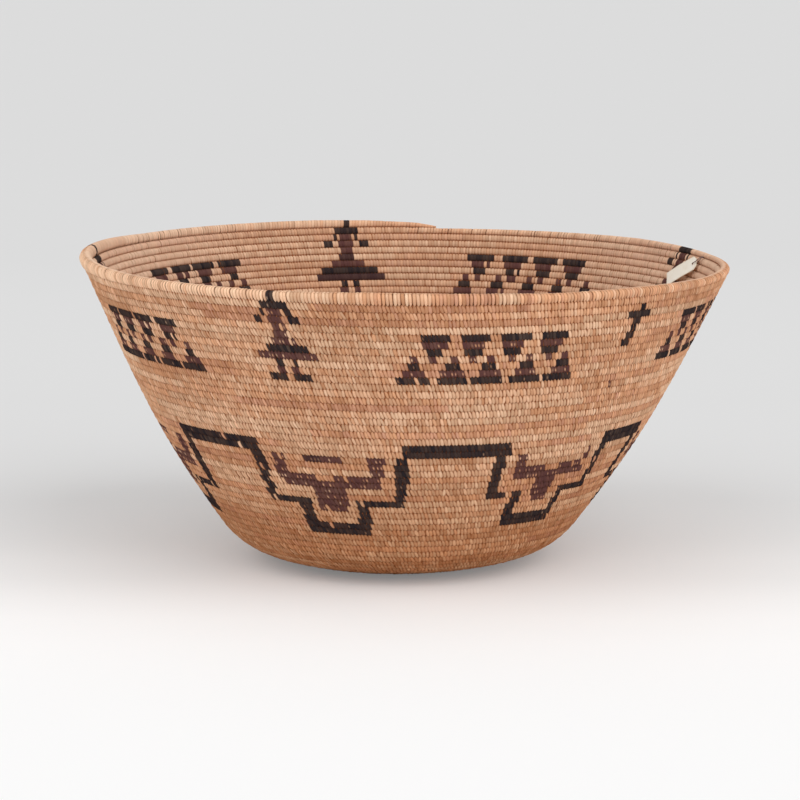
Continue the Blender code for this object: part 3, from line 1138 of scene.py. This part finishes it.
@dataclass(frozen=True)
class SewnLength:
    """One length of the coil with its stitches, between two turns."""

    name: str
    nodes: tuple[str, ...]
    slot: str
    first: float
    last: float
    top: Outline = INTERLOCKED
    foot: Outline = PLUNGING
    inside: Outline = SMOOTH
    wrapped_end: bool = False
    crown: float = 1.07
    edge: float = 0.90
    core: float = 0.86
    inner_core: float = 0.86
    core_lift: float = 1.1
    width: float = 1.05
    lean: float = 1.0
    inner_lean: float = -0.33
    core_stitches: float = 4.5
    core_squareness: float = 0.3
    core_fullness: float = 0.5
    slide_spread: float = 0.045
    width_spread: float = 0.07
    raise_spread: float = 0.00007
    tilt_spread: float = 0.08
    seed: int = 1000

    def build(self, path: CoilPath, sewing: Sewing, row: StitchRow,
              materials: tuple[bpy.types.Material, bpy.types.Material]) -> bpy.types.Object:
        """Bend a row of stitches onto this length of the spiral.

        Args:
            path: The spiral.
            sewing: All of the stitches.
            row: The straight row that is cut.
            materials: The splint's material and the bundle's.

        Returns:
            The piece's object.
        """
        chosen = sewing.between(self.first, self.last)
        turns = sewing.turns[chosen]
        count = len(turns)
        mesh = settle(self.name, row.cut(count, max(2, int(count / self.core_stitches))))
        verts = row.read(mesh, count)
        move_to(mesh, self.bend(path, sewing, chosen, verts))
        set_vectors(mesh, "splint", sewing.splints[chosen][verts.number])
        dyes = sewing.dyes[chosen][verts.number]
        set_vectors(mesh, "dye", np.column_stack([dyes, verts.crest.astype(float)]))
        set_vectors(mesh, "fibre", np.column_stack(
            [verts.across, np.cos(verts.angle), np.sin(verts.angle)]))
        self.lay_bake_map(mesh, count, verts)
        for material in materials:
            mesh.materials.append(material)
        mesh.update()
        return finish_piece(self.name, mesh, Body.BOWL, self.nodes)

    def bend(self, path: CoilPath, sewing: Sewing, chosen: slice,
             verts: RowVerts) -> np.ndarray:
        """Work out where each vertex of the straight row comes to lie.

        Args:
            path: The spiral.
            sewing: All of the stitches.
            chosen: The stitches of this length.
            verts: The straight row's vertices.

        Returns:
            One row of x, y and z for each vertex.
        """
        turns = sewing.turns[chosen]
        count = len(turns)
        chance = np.random.default_rng(self.seed + chosen.start)
        slide = chance.normal(0.0, self.slide_spread, count)
        wide = chance.normal(1.0, self.width_spread, count)
        raised = chance.normal(0.0, self.raise_spread, count)
        tilt = sewing.tilt + chance.normal(0.0, self.tilt_spread, count)
        core, number = verts.core, verts.number
        up, out = np.sin(verts.angle), np.cos(verts.angle)
        inner = out < -0.01

        # The section: how far up the wall, how far out and how wide each stitch is there
        round_it = np.degrees(np.arcsin(np.abs(up).clip(0.0, 1.0)))
        top, foot, inside = (
            np.stack([np.interp(round_it, outline[0], column) for column in outline[1:]])
            for outline in (np.array(self.top).T, np.array(self.foot).T, np.array(self.inside).T)
        )
        lift, reach, width = np.where(inner, inside, np.where(up > 0.0, top, foot))
        lift = np.where(core, np.abs(up) ** self.core_squareness * self.core_lift, lift)
        lift = lift * np.sign(up)
        bundle = np.abs(out) ** np.where(inner, 1.0, self.core_fullness)
        bundle = bundle * np.where(inner, self.inner_core, self.core)
        reach = np.where(core, bundle, reach * np.where(verts.crest, self.crown, self.edge))
        reach = reach * np.sign(out)

        # Along the coil: the stitch's own place, its width and its lean
        marks = np.concatenate([[-0.5], np.arange(count), [count - 0.5]])
        ends = np.concatenate([[self.first], turns, [self.last]])
        winding = path.circumference(turns)
        height, _ = path.course(turns)
        leaning = (tilt * height / 2.0 / winding)[number] * lift
        leaning = leaning * np.where(inner, self.inner_lean, self.lean)
        spread = verts.across * width * self.width * wide[number]
        shift = (spread + slide[number]) * (sewing.pitch / winding)[number]
        along = np.where(core, np.interp(verts.x, marks, ends), turns[number] + shift + leaning)
        return path.coil_points(along, lift, reach, np.where(core, 0.0, raised[number]))

    def lay_bake_map(self, mesh: bpy.types.Mesh, count: int, verts: RowVerts) -> None:
        """Give every stitch a cell of its own on a flat map, and the bundle a strip.

        Args:
            mesh: The mesh.
            count: Number of stitches.
            verts: The straight row's vertices.
        """
        angle = verts.angle
        faces, loops = len(mesh.polygons), len(mesh.loops)
        starts = np.empty(faces, np.int32)
        sizes = np.empty(faces, np.int32)
        corner = np.empty(loops, np.int32)
        mesh.polygons.foreach_get("loop_start", starts)
        mesh.polygons.foreach_get("loop_total", sizes)
        mesh.loops.foreach_get("vertex_index", corner)
        face = np.repeat(np.arange(faces), sizes)
        middle = np.arctan2(np.add.reduceat(np.sin(angle)[corner], starts),
                            np.add.reduceat(np.cos(angle)[corner], starts))
        middle = (middle + math.pi / 2.0) % math.tau
        turned = (angle[corner] + math.pi / 2.0 - middle[face] + math.pi) % math.tau - math.pi
        round_it = ((middle[face] + turned) / math.tau).clip(0.0, 1.0)
        inner = (np.add.reduceat(verts.crest[corner].astype(int), starts) == 0)[face]

        # The outer faces take four fifths of a cell and the inner ones the rest
        across = verts.across[corner]
        side = np.where(inner, 0.9 + across * 0.2, 0.4 + across * 0.8)
        columns = max(1, int(math.ceil(math.sqrt(count))))
        lines = int(math.ceil(count / columns))
        own = verts.number[corner]
        u = (own % columns + 0.05 + 0.9 * side) / columns
        v = 0.05 + 0.95 * (own // columns + 0.05 + 0.9 * round_it) / lines
        bundle = verts.core[corner]
        u = np.where(bundle, (verts.x[corner] + 0.5) / count, u)
        v = np.where(bundle, 0.04 * round_it, v)
        layer = mesh.uv_layers.new(name=BAKE_MAP)
        layer.uv.foreach_set("vector", np.column_stack([u, v]).astype(np.float32).ravel())


@dataclass(frozen=True)
class SewnCoil:
    """The whole coil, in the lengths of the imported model."""

    path: CoilPath
    sewing: Sewing
    knot_end: float = 1.0
    base_end: float = 11.7
    heel_lengths: int = 6
    wall_lengths: int = 19
    length_turns: float = 2.0
    rim_end: float = 62.6

    def lengths(self) -> list[SewnLength]:
        """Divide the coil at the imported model's own divisions.

        Returns:
            Every length, from the middle of the base to the coil's end on the rim.
        """
        made = [
            SewnLength("sewn_knot", ("start_knot",), "base_splint", 0.02, self.knot_end,
                       crown=1.0, edge=0.86, core_stitches=1.0),
            SewnLength("sewn_base", ("base_coil",), "base_splint", self.knot_end, self.base_end,
                       crown=1.0, edge=0.86, core_stitches=1.5),
        ]
        at = self.base_end
        for group, number in (("heel", self.heel_lengths), ("wall", self.wall_lengths)):
            nodes = sorted(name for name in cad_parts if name.startswith(group + "_coil_"))
            each = len(nodes) // number
            for length in range(number):
                made.append(SewnLength(
                    f"sewn_{group}_{length + 1:02d}",
                    tuple(nodes[length * each:(length + 1) * each]),
                    "tan_splint", at, at + self.length_turns))
                at += self.length_turns
        end = self.path.terminus_turn
        made.append(SewnLength("sewn_rim", ("rim_coil",), "rim_splint", at, self.rim_end,
                               top=ROUNDED, inside=ROUNDED, crown=1.09, edge=0.80, width=1.0,
                               core_lift=0.80, core=0.70, inner_core=0.70, lean=0.35,
                               inner_lean=0.35))
        made.append(SewnLength("sewn_end", ("coil_end",), "rim_splint", self.rim_end, end,
                               top=ROUNDED, inside=ROUNDED, wrapped_end=True, crown=1.05,
                               edge=0.84, core_lift=0.84, core=0.76, inner_core=0.76,
                               lean=0.35, inner_lean=0.35))
        return made

    def build(self) -> list[bpy.types.Object]:
        """Build and dress every length.

        Returns:
            The pieces' objects.
        """
        row = StitchRow()
        grass = BundleFinish().dress()
        shaded = BundleFinish("shaded_bundle", srgb(106, 62, 38), srgb(146, 98, 64)).dress()
        splints = {
            "base_splint": SplintFinish("base_splint", level=0.84, roughness=0.58).dress(),
            "tan_splint": SplintFinish("tan_splint").dress(),
            "rim_splint": SplintFinish("rim_splint", level=1.0, roughness=0.46,
                                       grime_and_shade_on_top=False).dress(),
        }
        made = []
        for length in self.lengths():
            splint = splints[length.slot]
            bundle = shaded if length.slot == "rim_splint" else grass
            bundle = splint if length.wrapped_end else bundle
            made.append(length.build(self.path, self.sewing, row, (splint, bundle)))
        row.row.free()
        return made


@dataclass(frozen=True)
class TagPlace:
    """Where the tag hangs and how it lies, as its own axes."""

    hook: Vector
    along: Vector
    inward: Vector
    end: Vector
    run: Vector
    facing: Vector


@dataclass(frozen=True)
class PaperTag:
    """The blank paper tag inside the rim, and the loop of thread that ties it."""

    path: CoilPath
    length: float = 0.0260
    width: float = 0.0090
    thickness: float = 0.00028
    clip: float = 0.0021
    hole_radius: float = 0.0007
    hole_inset: float = 0.0030
    angle: float = 102.5
    distance: float = 0.26376
    end: tuple[float, float, float] = (0.0009, 0.0038, 0.0022)
    run: tuple[float, float, float] = (0.0200, 0.0158, 0.0045)
    fall: tuple[float, float, float] = (-0.0052, 0.0070, -0.0014)
    foot_depth: float = 0.0004
    thread_spread: float = 0.0008
    thread_rise: float = 0.0014
    thread_clear: float = 0.0009
    ply_radius: float = 0.00014
    ply_reach: float = 0.85
    ply_turn: float = 0.62
    curl: float = 0.0004
    ripple: float = 0.00012
    cupping: float = 0.00018
    worn_border: float = 0.0009

    def place(self) -> TagPlace:
        """Find where the tag is tied and how it lies.

        Returns:
            Its place, from the wall's own directions at the hook.
        """
        face = -self.path.thickness / 2.0
        hook = self.path.point(self.angle, self.distance, face)
        along = (self.path.point(self.angle + 1.0, self.distance, face)
                 - self.path.point(self.angle - 1.0, self.distance, face)).normalized()
        down = (self.path.point(self.angle, self.distance - self.path.pitch, face)
                - hook).normalized()
        inward = (self.path.point(self.angle, self.distance, 2.0 * face) - hook).normalized()
        end, run, fall = (along * way[0] + down * way[1] + inward * way[2]
                          for way in (self.end, self.run, self.fall))
        run.normalize()
        facing = run.cross((fall - run * fall.dot(run)).normalized())
        if facing.dot(inward) < 0.0:
            facing.negate()
        return TagPlace(hook, along, inward, hook + end, run, facing)

    def build_paper(self) -> bpy.types.Object:
        """Build the paper strip with two clipped corners and a hole, a little curled.

        Returns:
            The piece's object.
        """
        place = self.place()
        sheet = bmesh.new()
        bmesh.ops.create_grid(sheet, x_segments=64, y_segments=18, size=0.5)
        bmesh.ops.scale(sheet, verts=sheet.verts[:], vec=(self.length, self.width, 1.0))
        bmesh.ops.translate(sheet, verts=sheet.verts[:], vec=(self.length / 2.0, 0.0, 0.0))
        for side in (-1.0, 1.0):
            bmesh.ops.bisect_plane(
                sheet, geom=sheet.verts[:] + sheet.edges[:] + sheet.faces[:], dist=1e-6,
                plane_co=(self.clip, side * self.width / 2.0, 0.0),
                plane_no=(-1.0, side, 0.0), clear_outer=True)
        centre = Vector((self.hole_inset, 0.0, 0.0))
        punched = [item for item in sheet.faces
                   if (item.calc_center_median() - centre).length < self.hole_radius]
        bmesh.ops.delete(sheet, geom=punched, context="FACES")
        for vert in sheet.verts:
            away = vert.co - centre
            if vert.is_boundary and away.length < self.hole_radius * 1.7:
                vert.co = centre + away.normalized() * self.hole_radius
        bmesh.ops.solidify(sheet, geom=sheet.faces[:], thickness=self.thickness)
        bmesh.ops.recalc_face_normals(sheet, faces=sheet.faces[:])
        mesh = settle("paper_tag", sheet)

        x, y, z = places_of(mesh)
        share = x / self.length
        bow = self.curl * (4.0 * share * (1.0 - share) - 0.6 * share ** 3)
        bow += self.ripple * np.sin(share * 19.0) * (y / self.width)
        bow += self.cupping * (2.0 * y / self.width) ** 2
        side = place.facing.cross(place.run)
        axes = np.array([place.run, side, place.facing])
        move_to(mesh, np.array(place.end) + np.column_stack([x, y, z - z.mean() + bow]) @ axes)
        rim = np.minimum(np.minimum(x, self.length - x), self.width / 2.0 - np.abs(y))
        worn = np.clip(1.0 - rim / self.worn_border, 0.0, 1.0)
        set_vectors(mesh, "wear", np.column_stack([worn, worn, worn]))
        mesh.materials.append(PaperFinish().dress())
        for face in mesh.polygons:
            face.use_smooth = True
        mesh.set_sharp_from_angle(angle=math.radians(40.0))
        mesh.update()
        return finish_piece("paper_tag", mesh, Body.TAG, ("tag",))

    def thread_route(self) -> list[Vector]:
        """Lay the thread out of the wall, through the hole and back.

        Returns:
            Points along the thread.
        """
        place = self.place()
        foot = place.hook - place.inward * self.foot_depth
        hole = place.end + place.run * self.hole_inset
        clear = self.thread_clear
        back = place.run * clear / 2.0
        apart = place.along * self.thread_spread
        rise = place.inward * self.thread_rise
        corners = [
            foot + apart,
            foot + apart + rise,
            place.end - back + place.facing * clear,
            hole - back + place.facing * clear,
            hole,
            hole - back - place.facing * clear,
            place.end - place.facing * clear,
            foot - apart + rise,
            foot - apart,
        ]
        return smooth_route(corners, 12)

    def build_thread(self) -> bpy.types.Object:
        """Twist two plies round each other along the thread's line.

        Returns:
            The piece's object.
        """
        route = self.thread_route()
        curve = bpy.data.curves.new("tie_thread", "CURVE")
        curve.dimensions = "3D"
        curve.bevel_depth = self.ply_radius
        curve.bevel_resolution = 1
        curve.use_fill_caps = True
        for ply in (0.0, math.pi):
            spline = curve.splines.new("POLY")
            spline.points.add(len(route) - 1)
            frame_side = Vector((0.0, 0.0, 1.0))
            for step, point in enumerate(route):
                ahead = route[min(step + 1, len(route) - 1)] - route[max(step - 1, 0)]
                ahead.normalize()
                frame_side = (frame_side - ahead * frame_side.dot(ahead)).normalized()
                turn = ply + step * self.ply_turn
                swing = frame_side * math.cos(turn) + ahead.cross(frame_side) * math.sin(turn)
                place = point + swing * self.ply_radius * self.ply_reach
                spline.points[step].co = (place.x, place.y, place.z, 1.0)
        mesh = curve_to_mesh("tie_thread", curve)
        mesh.materials.clear()
        mesh.materials.append(ThreadFinish().dress())
        return finish_piece("tie_thread", mesh, Body.TAG, ("tag_thread",))

    def build(self) -> list[bpy.types.Object]:
        """Build and dress the tag and its thread."""
        return [self.build_paper(), self.build_thread()]


def smooth_route(points: list[Vector], steps: int) -> list[Vector]:
    """Return points on a smooth curve.

    Args:
        points: The points that the curve passes through.
        steps: Number of points to each stretch.

    Returns:
        The curve's points, from the first given point to the last.
    """
    padded = [points[0]] + list(points) + [points[-1]]
    route = []
    for before, start, end, after in zip(padded, padded[1:], padded[2:], padded[3:]):
        for step in range(steps):
            part = step / steps
            route.append(0.5 * (
                2.0 * start
                + (end - before) * part
                + (2.0 * before - 5.0 * start + 4.0 * end - after) * part ** 2
                + (3.0 * start - before - 3.0 * end + after) * part ** 3
            ))
    return route + [points[-1]]


def curve_to_mesh(name: str, curve: bpy.types.Curve) -> bpy.types.Mesh:
    """Turn a curve into a welded mesh.

    Args:
        name: The mesh's name.
        curve: The curve, in place.

    Returns:
        The mesh, with the curve's own shape.
    """
    guide = put_in_scene(name + "_guide", curve)
    bpy.context.view_layer.update()
    shaped = guide.evaluated_get(bpy.context.evaluated_depsgraph_get())
    mesh = bpy.data.meshes.new_from_object(shaped)
    mesh.name = name
    bpy.data.objects.remove(guide, do_unlink=True)
    weld = bmesh.new()
    weld.from_mesh(mesh)
    bmesh.ops.remove_doubles(weld, verts=weld.verts[:], dist=1e-6)
    bmesh.ops.recalc_face_normals(weld, faces=weld.faces[:])
    weld.to_mesh(mesh)
    weld.free()
    return mesh


@dataclass(frozen=True)
class Studio:
    """The pale floor, the soft light and the camera."""

    target: Vector
    distance: float = 1.6
    elevation: float = math.degrees(0.11363)
    focal_pixels: float = 2876.43
    image_pixels: float = 800.0
    aim_right: float = 2.04
    aim_down: float = 136.8
    sensor: float = 36.0
    floor_size: float = 30.0
    # Painted light across the floor: its grey by depth, whitest near the camera and greyer far off
    floor_greys: tuple[tuple[float, int], ...] = (
        (-0.50, 250), (-0.31, 251), (-0.21, 253), (-0.155, 252), (-0.11, 249),
        (-0.063, 244), (-0.013, 242), (0.04, 236), (0.158, 227), (0.33, 224),
        (0.54, 222), (1.13, 221), (1.5, 219),
    )
    # Share of the floor's painted glow, seen by the camera alone
    floor_glow: float = 0.2
    backdrop: Colour = srgb(221, 221, 221)
    sky: float = 0.64
    key_angle: float = 60.0
    keys: tuple[tuple[str, float, tuple[float, float, float]], ...] = (
        ("right_key", 1.25, (-1.0, 0.95, -1.0)), ("left_key", 0.75, (1.0, 0.95, -1.0)),
    )

    def place_camera(self) -> None:
        """Place the camera at the photograph's viewing angle."""
        tip = math.radians(self.elevation)
        ahead = Vector((0.0, math.cos(tip), -math.sin(tip)))
        up = Vector((0.0, math.sin(tip), math.cos(tip)))
        right = Vector((1.0, 0.0, 0.0))
        axis = (ahead + right * self.aim_right / self.focal_pixels
                - up * self.aim_down / self.focal_pixels).normalized()
        lens = bpy.data.cameras.new("camera")
        lens.sensor_width = self.sensor
        lens.lens = self.focal_pixels * self.sensor / self.image_pixels
        lens.clip_start = 0.01
        lens.clip_end = 100.0
        camera = put_in_scene("camera", lens)
        side = axis.cross(Vector((0.0, 0.0, 1.0))).normalized()
        turn = Matrix((side, side.cross(axis), -axis)).transposed().to_4x4()
        camera.matrix_world = Matrix.Translation(self.target - ahead * self.distance) @ turn
        bpy.context.scene.camera = camera

    def lay_floor(self) -> None:
        """Lay a large pale floor, whitest towards the camera, whose painted glow lifts its
        shadows.
        """
        sheet = bmesh.new()
        bmesh.ops.create_grid(sheet, x_segments=1, y_segments=1, size=self.floor_size)
        mesh = settle("floor", sheet)
        work = Workbench(bpy.data.materials.new("studio_floor"))
        # Painted light: the floor's grey follows its depth
        _, depth, _ = work.split(work.places())
        near, far = self.floor_greys[0][0], self.floor_greys[-1][0]
        share = work.strand("ShaderNodeMapRange", "Result", None,
                            {"Value": depth, "From Min": near, "From Max": far})
        colour = work.ramp(share, [((y - near) / (far - near), srgb(grey, grey, grey))
                                   for y, grey in self.floor_greys])
        plain = work.strand("ShaderNodeBsdfDiffuse", 0, None, {"Color": colour})
        # Painted light: to the camera the floor is dimmed and glows by the same share, which lifts
        # its shadows
        dimmed = work.strand("ShaderNodeBsdfDiffuse", 0, None,
                             {"Color": work.scaled(colour, 1.0 - self.floor_glow)})
        glow = work.strand("ShaderNodeEmission", 0, None,
                           {"Color": colour, "Strength": self.floor_glow})
        pale = work.strand("ShaderNodeAddShader", 0, None, {0: dimmed, 1: glow})
        work.node("ShaderNodeOutputMaterial", None, {"Surface": work.by_ray(plain, pale)})
        mesh.materials.append(work.owner)
        floor = put_in_scene("floor", mesh)

    def light(self) -> None:
        """Set a soft even light all round and two broad ones from above and either side."""
        world = bpy.data.worlds.new("studio")
        bpy.context.scene.world = world
        work = Workbench(world)
        around = work.strand("ShaderNodeBackground", 0, None,
                             {"Color": (1.0, 1.0, 1.0, 1.0), "Strength": self.sky})
        behind = work.strand("ShaderNodeBackground", 0, None,
                             {"Color": self.backdrop, "Strength": 1.0})
        work.node("ShaderNodeOutputWorld", None, {"Surface": work.by_ray(around, behind)})
        for name, strength, way in self.keys:
            lamp = bpy.data.lights.new(name, "SUN")
            lamp.energy = strength
            lamp.angle = math.radians(self.key_angle)
            key = put_in_scene(name, lamp)
            key.rotation_euler = Vector(way).to_track_quat("-Z", "Y").to_euler()

    def build(self) -> None:
        """Build the studio."""
        self.place_camera()
        self.lay_floor()
        self.light()
        bpy.context.scene.view_settings.view_transform = "Standard"


def main() -> None:
    """Build the bowl, the tag and the studio, and write down how large it all is."""
    logging.basicConfig(level=logging.INFO, format="%(name)s: %(message)s")
    low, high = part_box("start_knot")
    lean = CoilPath.lean * CoilPath.thickness / 2.0 / CoilPath.lean_height
    path = CoilPath((low.x + high.x) / 2.0 - lean, (low.y + high.y) / 2.0)
    LOG.info("middle of the base at %.6f, %.6f", path.base_x, path.base_y)
    Studio(Vector((path.base_x, path.base_y, TARGET_HEIGHT))).build()
    sewing = Sewing(path, Chart())
    LOG.info("%d stitches on %.2f m of coil", len(sewing.turns),
             path.length_at(path.terminus_turn))
    SewnCoil(path, sewing).build()
    PaperTag(path).build()


if __name__ == "__main__":
    main()
